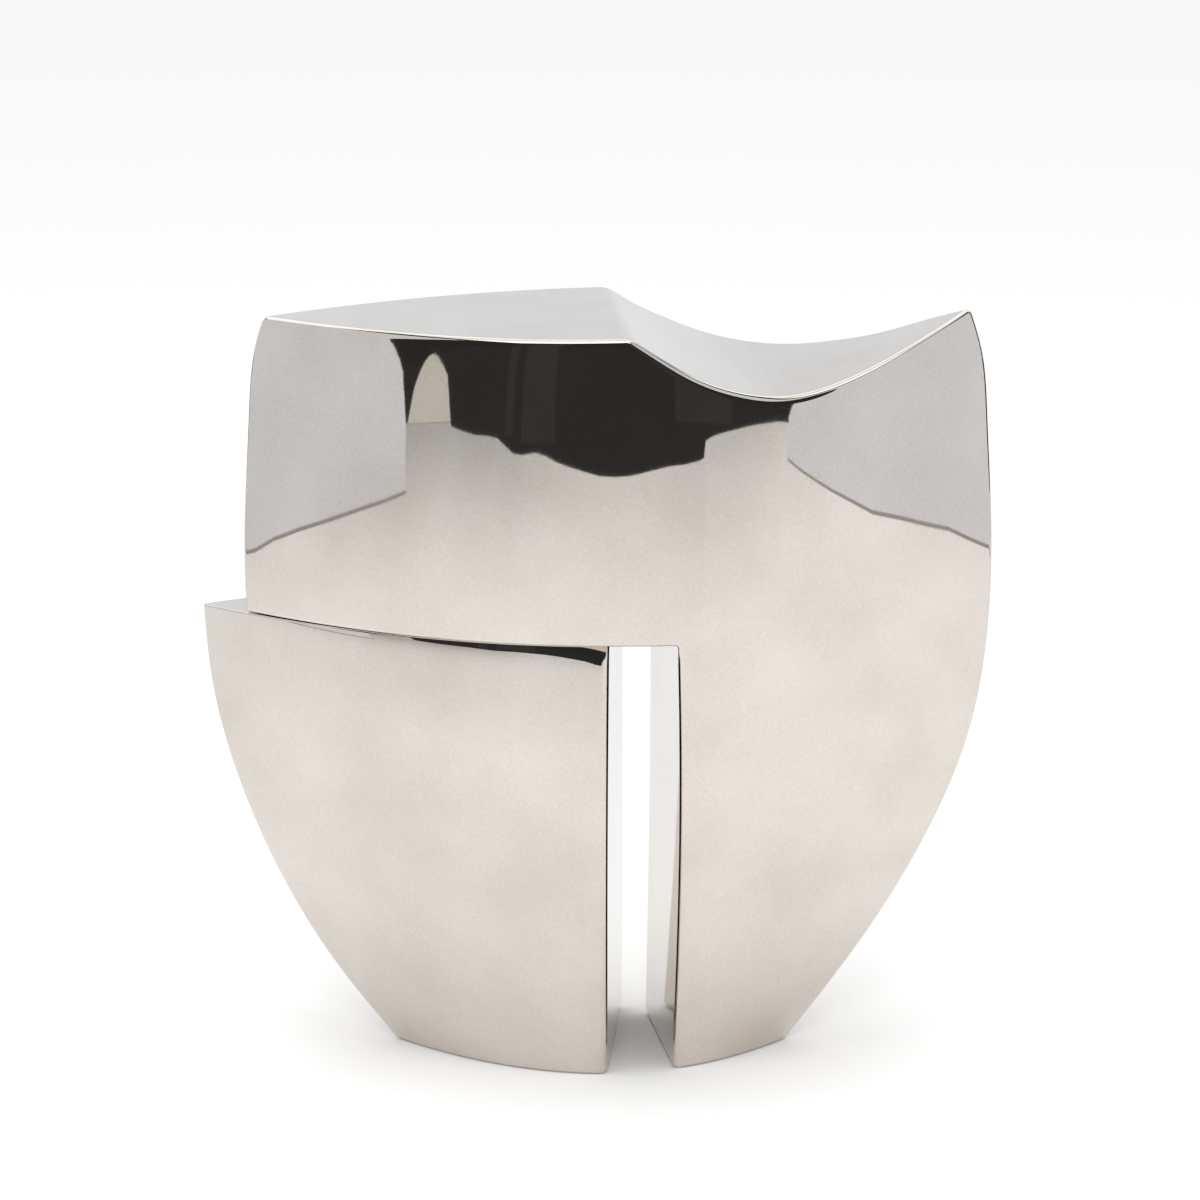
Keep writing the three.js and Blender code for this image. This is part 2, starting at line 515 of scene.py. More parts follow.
def arc_offsets(radius: float | Array) -> Array:
    """Distances from a sharp edge that give even steps of a round one, with two rows beyond."""
    angles = np.linspace(math.pi / 4.0, 0.0, ARC_STEPS + 1)
    return np.asarray(radius)[..., None] * np.concatenate((1.0 - np.tan(angles), ROWS_BEYOND_ARC))


def graded(length: Array, start: Array, end: Array, middle: int) -> Array:
    """Distances along lines, closer together near both ends.

    A row near an end keeps its distance from it, or its even share of a short line.

    Args:
        length: Length of each line.
        start: Distances of the first rows from the start.
        end: Distances of the last rows from the end, nearest first.
        middle: Number of even rows between them.

    Returns:
        Distances from the start, with a last axis along the lines.
    """
    length = np.asarray(length, float)[..., None]
    count = start.shape[-1] + middle + end.shape[-1]
    even = np.arange(count) / (count - 1)
    first = np.minimum(start, even[: start.shape[-1]] * length)
    last = length - np.minimum(end, even[: end.shape[-1]] * length)[..., ::-1]
    share = np.arange(1, middle + 1) / (middle + 1)
    between = first[..., -1:] + (last[..., :1] - first[..., -1:]) * share
    return np.concatenate((first, between, last), axis=-1)


def span_lines(near: Array, far: Array, radius: float | Array) -> Array:
    """Straight lines in plan from points of one border to points of another.

    Args:
        near: Points of the first border, one row each.
        far: Points of the second border.
        radius: Radius of the edges at both ends, one for all or one for each line.

    Returns:
        Grid of points, with the lines along its second axis.
    """
    reach = far - near
    length = np.linalg.norm(reach[:, :2], axis=1)
    offsets = arc_offsets(radius)
    distance = graded(length, offsets, offsets, DEPTH_ROWS)
    share = distance / np.maximum(length, SHORTEST_LINE)[:, None]
    return near[:, None, :] + share[:, :, None] * reach[:, None, :]


def merge(grids: list[Array]) -> tuple[Array, Array]:
    """Merges grids at their shared points.

    Args:
        grids: Grids of points, which share their borders.

    Returns:
        The points, and the four corners of every cell as indices of points.
    """
    stacked = np.concatenate([grid.reshape(-1, 3) for grid in grids])
    rounded = np.round(stacked, MERGE_DIGITS)
    _, kept, place = np.unique(rounded, axis=0, return_index=True, return_inverse=True)
    ends = np.cumsum([grid.shape[0] * grid.shape[1] for grid in grids])
    parts = np.split(place.ravel(), ends[:-1])
    cells = [cell_corners(part.reshape(grid.shape[:2])) for part, grid in zip(parts, grids)]
    return stacked[kept], np.concatenate(cells)


def cell_corners(index: Array) -> Array:
    """Four corners of every cell of a grid, as a row of indices each."""
    ring = (index[:-1, :-1], index[1:, :-1], index[1:, 1:], index[:-1, 1:])
    return np.stack(ring, axis=-1).reshape(-1, 4)


def add_object(name: str, data: bpy.types.ID) -> bpy.types.Object:
    """Adds an object to the scene.

    Args:
        name: Name of the object.
        data: Its mesh, light or camera.

    Returns:
        The object, at the origin.
    """
    added = bpy.data.objects.new(name, data)
    bpy.context.scene.collection.objects.link(added)
    return added


def fill_inputs(tree: Tree, node: Node, inputs: dict[str | int, object]) -> Node:
    """Sets or links the inputs of a node.

    Args:
        tree: The nodes of a material or of the world.
        node: The node.
        inputs: A plain value to set or an output to link, by the input's name or number.

    Returns:
        The same node.
    """
    for key, value in inputs.items():
        if isinstance(value, Socket):
            tree.links.new(value, node.inputs[key])
        else:
            node.inputs[key].default_value = value
    return node


def add_node(tree: Tree, kind: str, inputs: dict[str | int, object]) -> Node:
    """Adds a node of a kind, with its inputs filled."""
    return fill_inputs(tree, tree.nodes.new(kind), inputs)


@dataclass(frozen=True)
class PolishedSteel:
    """Mirror-polished stainless steel with the faint traces that polishing leaves.

    Args:
        name: Name of the material.
        tone: Colour of the bare metal.
        haze_tone: Colour where a little haze lies on it.
        clouds: Repeats in a metre and layers of detail of the haze's clouds.
        grain: The same for the fine grain.
        waves: The same for the slow waves that hand polishing leaves.
        wave_height: Height of those waves, in metres.
        grain_share: Share of the grain in the haze, beside the clouds.
        haze_span: Values of the haze where the metal is bare and where it is fully hazy.
        roughness: Roughness from the clearest to the haziest place.
        rough_span: Clouds times grain at those two places.
    """

    name: str
    tone: Point
    haze_tone: Point
    clouds: tuple[float, float] = (22.0, 4.0)
    grain: tuple[float, float] = (900.0, 2.0)
    waves: tuple[float, float] = (22.0, 1.0)
    wave_height: float = 2.0e-5
    grain_share: float = 0.42
    haze_span: tuple[float, float] = (0.38, 0.64)
    roughness: tuple[float, float] = (0.018, 0.045)
    rough_span: tuple[float, float] = (0.1, 0.45)

    def material(self) -> bpy.types.Material:
        """Makes the node material.

        Returns:
            A material that reads only the piece's own coordinates.
        """
        material = bpy.data.materials.new(self.name)
        material.use_nodes = True
        tree = material.node_tree
        place = add_node(tree, "ShaderNodeTexCoord", {}).outputs["Object"]
        patterns = (self.clouds, self.grain, self.waves)
        clouds, grain, waves = (self.noise(tree, place, *pattern) for pattern in patterns)
        relief = {"Strength": 1.0, "Distance": self.wave_height, "Height": waves}
        fill_inputs(tree, tree.nodes["Principled BSDF"], {
            "Metallic": 1.0,
            "Base Color": self.colour(tree, clouds, grain),
            "Roughness": self.sheen(tree, clouds, grain),
            "Normal": add_node(tree, "ShaderNodeBump", relief).outputs["Normal"],
        })
        return material

    def noise(self, tree: Tree, place: Socket, scale: float, detail: float) -> Socket:
        """Value of a noise texture, about 0.5 in the middle, with detail as its finer layers."""
        inputs = {"Vector": place, "Scale": scale, "Detail": detail}
        return add_node(tree, "ShaderNodeTexNoise", inputs).outputs["Fac"]

    def colour(self, tree: Tree, clouds: Socket, grain: Socket) -> Socket:
        """Colour of the metal: bare and hazy metal, mixed by the clouds and a little grain.

        Args:
            tree: The material's nodes.
            clouds: Value of the clouds.
            grain: Value of the grain.

        Returns:
            The colour.
        """
        haze = add_node(tree, "ShaderNodeMix", {"Factor": self.grain_share, "A": clouds, "B": grain})
        ramp = add_node(tree, "ShaderNodeValToRGB", {"Fac": haze.outputs["Result"]})
        bare, hazy = ramp.color_ramp.elements
        bare.position, hazy.position = self.haze_span
        bare.color, hazy.color = (*self.tone, 1.0), (*self.haze_tone, 1.0)
        return ramp.outputs["Color"]

    def sheen(self, tree: Tree, clouds: Socket, grain: Socket) -> Socket:
        """Roughness of the metal: the clouds' haze, broken by the grain.

        Args:
            tree: The material's nodes.
            clouds: Value of the clouds.
            grain: Value of the grain.

        Returns:
            The roughness.
        """
        product = add_node(tree, "ShaderNodeMath", {0: clouds, 1: grain})
        product.operation = "MULTIPLY"
        ends = ("From Min", "From Max", "To Min", "To Max")
        inputs = {"Value": product.outputs[0], **dict(zip(ends, (*self.rough_span, *self.roughness)))}
        return add_node(tree, "ShaderNodeMapRange", inputs).outputs["Result"]


@dataclass
class Piece(ABC):
    """A piece of the sculpture: a closed shell made of grids that share their borders.

    Args:
        name: Name of the shell.
        node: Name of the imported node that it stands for.
        steel: Its finish.
    """

    name: str
    node: str
    steel: PolishedSteel

    @abstractmethod
    def distance(self, points: Array) -> Array:
        """Signed distance to the finished surface, negative inside."""

    @abstractmethod
    def grids(self) -> list[Array]:
        """Grids of points on the sharp-edged surfaces."""

    def build(self) -> bpy.types.Object:
        """Settles the points on the rounded surface and makes the mesh.

        Cells are turned so that they face along the gradient. A cell whose corners meet at
        a pole becomes a triangle.

        Returns:
            The shell, at the origin, with the surface's own normals.
        """
        points, cells = merge(self.grids())
        points, normals = settle(self.distance, points)
        diagonals = points[cells[:, 2]] - points[cells[:, 0]], points[cells[:, 3]] - points[cells[:, 1]]
        facing = np.einsum("ij,ij->i", np.cross(*diagonals), normals[cells].sum(axis=1))
        cells = np.where((facing < 0.0)[:, None], cells[:, ::-1], cells)
        repeats = cells == np.roll(cells, -1, axis=1)
        poled = repeats.sum(axis=1) == 1
        triangles = cells[poled][~repeats[poled]].reshape(-1, 3)
        faces = cells[~repeats.any(axis=1)].tolist() + triangles.tolist()
        mesh = bpy.data.meshes.new(self.name)
        mesh.from_pydata(((points + DRAWING_TO_FRAME) * MM).tolist(), [], faces, shade_flat=False)
        mesh.validate()
        mesh.normals_split_custom_set_from_vertices(normals.tolist())
        LOG.info("%s: %d points, %d faces", self.name, len(points), len(faces))
        return add_object(self.name, mesh)

    def dress(self, shell: bpy.types.Object) -> None:
        """Gives the shell its steel and its place in the frame.

        Args:
            shell: The finished shell.
        """
        shell.data.materials.append(self.steel.material())
        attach(shell, BODY_NAME)
        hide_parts(self.node)


@dataclass
class MainBody(Piece):
    """The hull with its two shoulders, its level cut and its leg."""

    name: str = "body_shell"
    node: str = "main_body"
    steel: PolishedSteel = PolishedSteel("body_steel", (0.712, 0.671, 0.622), (0.630, 0.582, 0.528))
    plan: LensPlan = LensPlan(
        centre_x=7.5,
        half_width=Curve(
            (0, 45, 90, 135, 180, 230, 275, 305, 320),
            (71.7, 103.6, 129.3, 146.9, 154.5, 155.5, 153.1, 149.8, 145.2),
        ),
        tip_y=Curve((0, 60, 130, 191, 260, 320), (0, -4.5, -10.0, -14.5, -15.0, -12.5)),
        front_y=Curve((0, 60, 130, 191, 260, 320), (-47.4, -56.0, -68.5, -78.3, -86.0, -85.0)),
        back_y=Curve((0, 60, 130, 191, 260, 320), (37.0, 44.5, 50.5, 53.5, 50.5, 41.6)),
        tip_allowance=1.0,
        lip=FrontLip(depth=0.0, start=0.0, end=CUT_HEIGHT),
    )
    top: TopProfile = TopProfile(
        slant=0.075,
        pivot_y=-19.0,
        ridge=(7.3, 319.3),
        shoulder_tip=(-138.0, 316.2),
        scoop=Curve(
            (7.3, 20, 32, 44, 56, 71, 86, 98, 116, 134, 152, 170),
            (319.3, 311.3, 305.0, 300.1, 296.8, 295.0, 296.1, 298.7, 304.3, 311.7, 319.2, 326.8),
        ),
        climb=Curve(
            (7.3, 20, 32, 50, 71, 86, 104, 125, 140, 152, 170),
            (0, 0.3, 1.7, 2.4, 2.8, 1.8, 0, -2.3, -1.0, 0, 0),
        ),
    )
    wall: SlotWall = SlotWall(foot=(33.7, 18.0), top=(30.9, 22.0), bow=1.2)
    left_columns: int = 62
    ridge_columns: int = 8
    right_columns: int = 50
    upper_rows: int = 52
    lower_rows: int = 62

    def distance(self, points: Array) -> Array:
        """Signed distance to the finished body.

        The hull is shared with the space under the shoulders and over the floor, and then
        with all that is above the cut or to the right of the leg's wall.

        Args:
            points: Points in the drawing frame, one row each.

        Returns:
            Distance of each point, negative inside.
        """
        topped = rounded_both(self.plan.hull(points), self.top.gap(points), EDGE_RADIUS)
        standing = rounded_both(topped, -points[:, 2], FOOT_RADIUS)
        slot = rounded_both(points[:, 2] - CUT_HEIGHT, self.wall.gap(points), INNER_CORNER_RADIUS)
        return rounded_both(standing, -slot, wall_edge_radius(points[:, 2]))

    def top_height(self, side: Side, u: Array) -> Array:
        """Height where columns of constant u meet the shoulders, found by going to and fro.

        Args:
            side: Front or back face.
            u: Shares of the half width.

        Returns:
            Height of the top edge on each column.
        """
        z = np.full_like(u, self.top.ridge[1])
        for _ in range(MEETING_ROUNDS):
            x = self.plan.x_at(u, z)
            z = self.top.height(x, self.plan.y_at(side, x, z))
        return z

    def ridge_share(self, side: Side) -> float:
        """Share of the half width where the ridge ends on a face, found by going to and fro.

        Args:
            side: Front or back face.

        Returns:
            The share u of the ridge's end.
        """
        x, z = np.array(self.top.ridge)[:, None]
        for _ in range(MEETING_ROUNDS):
            x = self.top.ridge[0] - self.top.slant * (self.plan.y_at(side, x, z) - self.top.pivot_y)
        return float((x[0] - self.plan.centre_x) / self.plan.half(z)[0])

    def column_shares(self, side: Side) -> tuple[Array, int]:
        """Columns of a face at the level cut, closer together at tips, ridge and wall.

        Args:
            side: Front or back face.

        Returns:
            The share u of every column, and the number of the wall's column.
        """
        cut = np.array([CUT_HEIGHT])
        half = self.plan.half(cut)[0]
        wall = (self.wall.corner(self.plan, side, cut)[0] - self.plan.centre_x) / half
        stops = (-1.0, self.ridge_share(side), wall, 1.0)
        counts = (self.left_columns, self.ridge_columns, self.right_columns)
        offsets = arc_offsets(EDGE_RADIUS)
        left, middle, right = (
            graded((end - start) * half, offsets, offsets, count) / half + start
            for start, end, count in zip(stops, stops[1:], counts)
        )
        return np.concatenate((left, middle[1:-1], right)), len(left) + len(middle) - 2

    def upper_face(self, side: Side, u: Array) -> Array:
        """Grid of a face above the level cut: columns of constant u up to the shoulders.

        Args:
            side: Front or back face.
            u: Share of the half width of each column.

        Returns:
            Grid of points, columns first.
        """
        low, high = arc_offsets(CUT_EDGE_RADIUS), arc_offsets(EDGE_RADIUS)
        z = CUT_HEIGHT + graded(self.top_height(side, u) - CUT_HEIGHT, low, high, self.upper_rows)
        return self.plan.grid(side, self.plan.x_at(u[:, None], z), z)

    def leg_face(self, side: Side) -> Array:
        """Grid of a face of the leg: level rows from the wall to the right tip.

        Args:
            side: Front or back face.

        Returns:
            Grid of points, columns first.
        """
        offsets = arc_offsets(EDGE_RADIUS)
        z = graded(CUT_HEIGHT, arc_offsets(FOOT_RADIUS), arc_offsets(CUT_EDGE_RADIUS), self.lower_rows)
        wall = self.wall.corner(self.plan, side, z)
        width = self.plan.centre_x + self.plan.half(z) - wall
        return self.plan.grid(side, wall + graded(width, offsets, offsets, self.right_columns).T, z)

    def shoulder_face(self, front: Array, back: Array) -> Array:
        """Grid of the shoulders, between the top edges of the two faces.

        Args:
            front: The front face's top edge.
            back: The back face's top edge.

        Returns:
            Grid of points, one line front to back for each pair.
        """
        grid = span_lines(front, back, EDGE_RADIUS)
        grid[:, 1:-1, 2] = self.top.height(grid[:, 1:-1, 0], grid[:, 1:-1, 1])
        return grid

    def grids(self) -> list[Array]:
        """Grids of the body: two faces, shoulders, cut, wall and foot.

        Returns:
            The grids, which share their borders.
        """
        (shares, _), (back_shares, wall_column) = (self.column_shares(side) for side in Side)
        upper, upper_back = self.upper_face(Side.FRONT, shares), self.upper_face(Side.BACK, back_shares)
        leg, leg_back = self.leg_face(Side.FRONT), self.leg_face(Side.BACK)
        under = slice(0, wall_column + 1)
        foot_radius = np.full(len(leg), FOOT_RADIUS)
        foot_radius[0] = wall_edge_radius(0.0)
        return [
            upper, leg, upper_back, leg_back,
            self.shoulder_face(upper[:, -1], upper_back[:, -1]),
            span_lines(upper[under, 0], upper_back[under, 0], CUT_EDGE_RADIUS),
            self.wall.grid(leg[0], leg_back[0]),
            span_lines(leg[:, 0], leg_back[:, 0], foot_radius),
        ]


@dataclass
class LowerBlock(Piece):
    """The left part of a wider bowl, as far as the slot, under the body's level cut."""

    name: str = "block_shell"
    node: str = "lower_block"
    steel: PolishedSteel = PolishedSteel("block_steel", (0.685, 0.645, 0.598), (0.608, 0.561, 0.508))
    height: float = CUT_HEIGHT - SEAM_GAP
    plan: LensPlan = LensPlan(
        centre_x=4.0,
        half_width=Curve((0, 30, 75, 119, 162, 191.4), (90.4, 113.8, 140.4, 158.0, 168.0, 170.4)),
        tip_y=Curve((0, 95, 191.4), (0.8, 0.8, 0.8)),
        front_y=Curve((0, 60, 120, 165, 191.4), (-49.8, -60.0, -68.6, -73.2, -74.8)),
        back_y=Curve((0, 60, 120, 165, 191.4), (45.5, 49.5, 53.0, 55.3, 56.5)),
        tip_allowance=1.5,
        lip=FrontLip(depth=1.0, start=172.0, end=CUT_HEIGHT),
    )
    wall: SlotWall = SlotWall(foot=(1.9, 9.6), top=(4.1, 9.5), bow=0.0)
    columns: int = 84
    rows: int = 74

    def distance(self, points: Array) -> Array:
        """Signed distance to the finished block: the bowl, its top, its foot and its wall.

        Args:
            points: Points in the drawing frame, one row each.

        Returns:
            Distance of each point, negative inside.
        """
        capped = rounded_both(self.plan.hull(points), points[:, 2] - self.height, BLOCK_TOP_RADIUS)
        standing = rounded_both(capped, -points[:, 2], FOOT_RADIUS)
        return rounded_both(standing, self.wall.gap(points), wall_edge_radius(points[:, 2]))

    def face(self, side: Side) -> Array:
        """Grid of a face: level rows from the left tip to the slot wall.

        Args:
            side: Front or back face.

        Returns:
            Grid of points, columns first.
        """
        offsets = arc_offsets(EDGE_RADIUS)
        z = graded(self.height, arc_offsets(FOOT_RADIUS), arc_offsets(BLOCK_TOP_RADIUS), self.rows)
        tip = self.plan.centre_x - self.plan.half(z)
        width = self.wall.corner(self.plan, side, z) - tip
        return self.plan.grid(side, tip + graded(width, offsets, offsets, self.columns).T, z)

    def level_face(self, front: Array, back: Array, radius: float) -> Array:
        """Grid of the top or the foot, between its edges on the two faces.

        Args:
            front: The edge on the front face, from the tip to the wall.
            back: The same on the back face.
            radius: Radius of that edge. The wall's own edge keeps its own.

        Returns:
            Grid of points, one line front to back for each pair.
        """
        radii = np.full(len(front), radius)
        radii[-1] = wall_edge_radius(front[-1, 2])
        return span_lines(front, back, radii)

    def grids(self) -> list[Array]:
        """Grids of the block: two faces, top, foot and slot wall.

        Returns:
            The grids, which share their borders.
        """
        front, back = self.face(Side.FRONT), self.face(Side.BACK)
        top = self.level_face(front[:, -1], back[:, -1], BLOCK_TOP_RADIUS)
        foot = self.level_face(front[:, 0], back[:, 0], FOOT_RADIUS)
        return [front, back, top, foot, self.wall.grid(front[-1], back[-1])]


def stage_sheet(name: str, grid: Array, material: bpy.types.Material) -> bpy.types.Object:
    """Makes a sheet of the stage.

    Args:
        name: Name of the sheet.
        grid: Points in metres, in rows.
        material: Its material.

    Returns:
        The sheet.
    """
    index = np.arange(grid.shape[0] * grid.shape[1]).reshape(grid.shape[:2])
    mesh = bpy.data.meshes.new(name)
    mesh.from_pydata(grid.reshape(-1, 3).tolist(), [], cell_corners(index).tolist())
    mesh.materials.append(material)
    sheet = add_object(name, mesh)
    return sheet


def steel_sheet(name: str, grid: Array, surface: Callable[[Tree], Socket]) -> bpy.types.Object:
    """Makes a sheet of the stage that only the steel sees.

    Args:
        name: Name of the sheet and of its material.
        grid: Points in metres, in rows.
        surface: Adds the shader's nodes to a material and gives their output.

    Returns:
        The sheet, hidden from the camera, from shadows and from matt surfaces.
    """
    material = bpy.data.materials.new(name)
    material.use_nodes = True
    material.cycles.emission_sampling = "NONE"
    tree = material.node_tree
    tree.nodes.remove(tree.nodes["Principled BSDF"])
    fill_inputs(tree, tree.nodes["Material Output"], {"Surface": surface(tree)})
    sheet = stage_sheet(name, grid, material)
    sheet.visible_camera = False
    sheet.visible_diffuse = False
    sheet.visible_shadow = False
    sheet.visible_transmission = False
    return sheet


def around(turn: Array, radius: Array, height: Array) -> Array:
    """Points around the work, at r sin a to the right and r cos a in front.

    Args:
        turn: Azimuths a from the front in radians, positive to the right.
        radius: Distances r in metres.
        height: Heights in metres.

    Returns:
        Grid of points.
    """
    parts = np.broadcast_arrays(radius * np.sin(turn), -radius * np.cos(turn), height)
    return np.stack(parts, axis=-1)


@dataclass(frozen=True)
class GlowCard:
    """A card that glows evenly and shows only in the steel.

    Args:
        name: Name of the card.
        colour: Colour of its light.
        strength: Strength of its light.
        rows: Lines of points in metres, in the part's frame, with faces from line to line.
    """

    name: str
    colour: Point
    strength: float
    rows: Array

    @classmethod
    def flat(cls, name: str, colour: Point, strength: float, span: PlanPoint,
             edges: tuple[PlanPoint, PlanPoint]) -> "GlowCard":
        """A flat card across the work.

        Args:
            name: Name of the card.
            colour: Colour of its light.
            strength: Strength of its light.
            span: Places of its left and right ends.
            edges: Depth and height of its two long edges.

        Returns:
            The card.
        """
        return cls(name, colour, strength, np.array([[(x, y, z) for x in span] for y, z in edges]))

    def glow(self, tree: Tree) -> Socket:
        """Adds the light, which is clear to light on its way to the floor.

        Args:
            tree: The material's nodes.

        Returns:
            The shader's output.
        """
        light = {"Color": (*self.colour, 1.0), "Strength": self.strength}
        shaders = {
            "Fac": add_node(tree, "ShaderNodeLightPath", {}).outputs["Diffuse Depth"],
            1: add_node(tree, "ShaderNodeEmission", light).outputs["Emission"],
            2: add_node(tree, "ShaderNodeBsdfTransparent", {}).outputs["BSDF"],
        }
        return add_node(tree, "ShaderNodeMixShader", shaders).outputs["Shader"]

    def build(self) -> bpy.types.Object:
        """Makes the card from its lines."""
        return steel_sheet(self.name, self.rows, self.glow)


@dataclass(frozen=True)
class FloorLight:
    """How far and how brightly the floor is lit, as the steel sees it.

    The light is full out to a radius, and falls to a share of itself at the lit floor's
    crisp edge, by share = 1 - (1 - edge share) (2 t - t t), where t is the way between. Past
    the edge lies a dark floor. The edge was placed so that its line in the steel, as seen by
    the camera, meets the one in the photograph.

    Args:
        full_radius: Radius of the fully lit floor, in metres.
        edge: Azimuth in degrees from the front, positive to the right, radius of the lit
            edge in metres, and the share of light there.
        rear_radius: Radius of the fully lit floor straight behind, in metres.
        rear_turn: Azimuth past which the fully lit radius begins to shrink to that.
        dark_strength: Light of the dark floor.
        dark_radius: Where the dark floor ends.
        lift: Height of both sheets over the floor.
        turns: Number of azimuths.
        ways: Number of radii from the fully lit floor to the edge.
    """

    full_radius: float = 0.34
    edge: tuple[Point, ...] = (
        (-180, 1.55, 0.78), (-120, 1.6, 0.85), (-78, 1.75, 0.80), (-66, 1.9, 0.64),
        (-57.5, 2.04, 0.50), (-46.4, 2.01, 0.49), (-46.2, 1.88, 0.51), (-43.3, 1.77, 0.49),
        (-39.9, 1.68, 0.48), (-36.7, 1.65, 0.48), (-34.0, 1.60, 0.49), (-31.8, 1.47, 0.50),
        (-29.5, 1.35, 0.52), (-27.0, 1.32, 0.54), (-23.4, 1.34, 0.56), (-20.6, 1.29, 0.58),
        (-17.4, 1.20, 0.62), (-13.4, 1.13, 0.63), (-9.1, 1.07, 0.65), (-4.7, 1.02, 0.66),
        (-0.4, 1.01, 0.67), (3.4, 1.02, 0.67), (6.9, 1.05, 0.67), (11.2, 1.10, 0.66),
        (15.4, 1.15, 0.65), (19.7, 1.18, 0.64), (23.9, 1.24, 0.63), (25.0, 1.28, 0.62),
        (25.2, 1.51, 0.61), (27.2, 1.60, 0.60), (29.4, 1.66, 0.59), (33.5, 1.75, 0.60),
        (37.6, 1.85, 0.64), (41.5, 1.93, 0.70), (45.4, 2.00, 0.78), (52, 1.95, 0.86),
        (60, 1.9, 0.92), (70, 1.8, 0.97), (120, 1.6, 0.85), (180, 1.55, 0.78),
    )
    rear_radius: float = 0.10
    rear_turn: float = 100.0
    dark_strength: float = 0.035
    dark_radius: float = 90.0
    lift: float = 0.003
    turns: int = 721
    ways: int = 9

    def build(self) -> None:
        """Makes the sheet of painted shade over the lit floor, and the dark floor around it."""
        azimuth = np.linspace(-180.0, 180.0, self.turns)
        stations, radii, shares = np.array(self.edge).T
        radius, edge_share = np.interp(azimuth, stations, radii), np.interp(azimuth, stations, shares)
        turn = np.radians(azimuth)
        way = np.linspace(0.0, 1.0, self.ways)[:, None]
        behind = np.clip((np.abs(azimuth) - self.rear_turn) / (180.0 - self.rear_turn), 0.0, 1.0)
        full = self.full_radius + (self.rear_radius - self.full_radius) * np.sqrt(behind)
        lit = around(turn, full + (radius - full) * way, self.lift)
        clearness = 1.0 - (1.0 - edge_share) * (2.0 * way - way**2)
        # Painted shade: a clear sheet, seen only in the steel, dims the floor towards the lit edge.
        sheet = steel_sheet("dimmed_floor", lit, self.dimming)
        values = sheet.data.attributes.new("clearness", "FLOAT", "POINT")
        values.data.foreach_set("value", clearness.astype(np.float32).ravel())
        dark = around(turn, np.stack((radius, np.full_like(radius, self.dark_radius))), self.lift)
        GlowCard("dark_floor", WHITE, self.dark_strength, dark).build()

    def dimming(self, tree: Tree) -> Socket:
        """Adds a clear shader that dims what lies behind it by the sheet's own values.

        Args:
            tree: The material's nodes.

        Returns:
            The shader's output.
        """
        values = add_node(tree, "ShaderNodeAttribute", {})
        values.attribute_name = "clearness"
        return add_node(tree, "ShaderNodeBsdfTransparent", {"Color": values.outputs["Fac"]}).outputs["BSDF"]


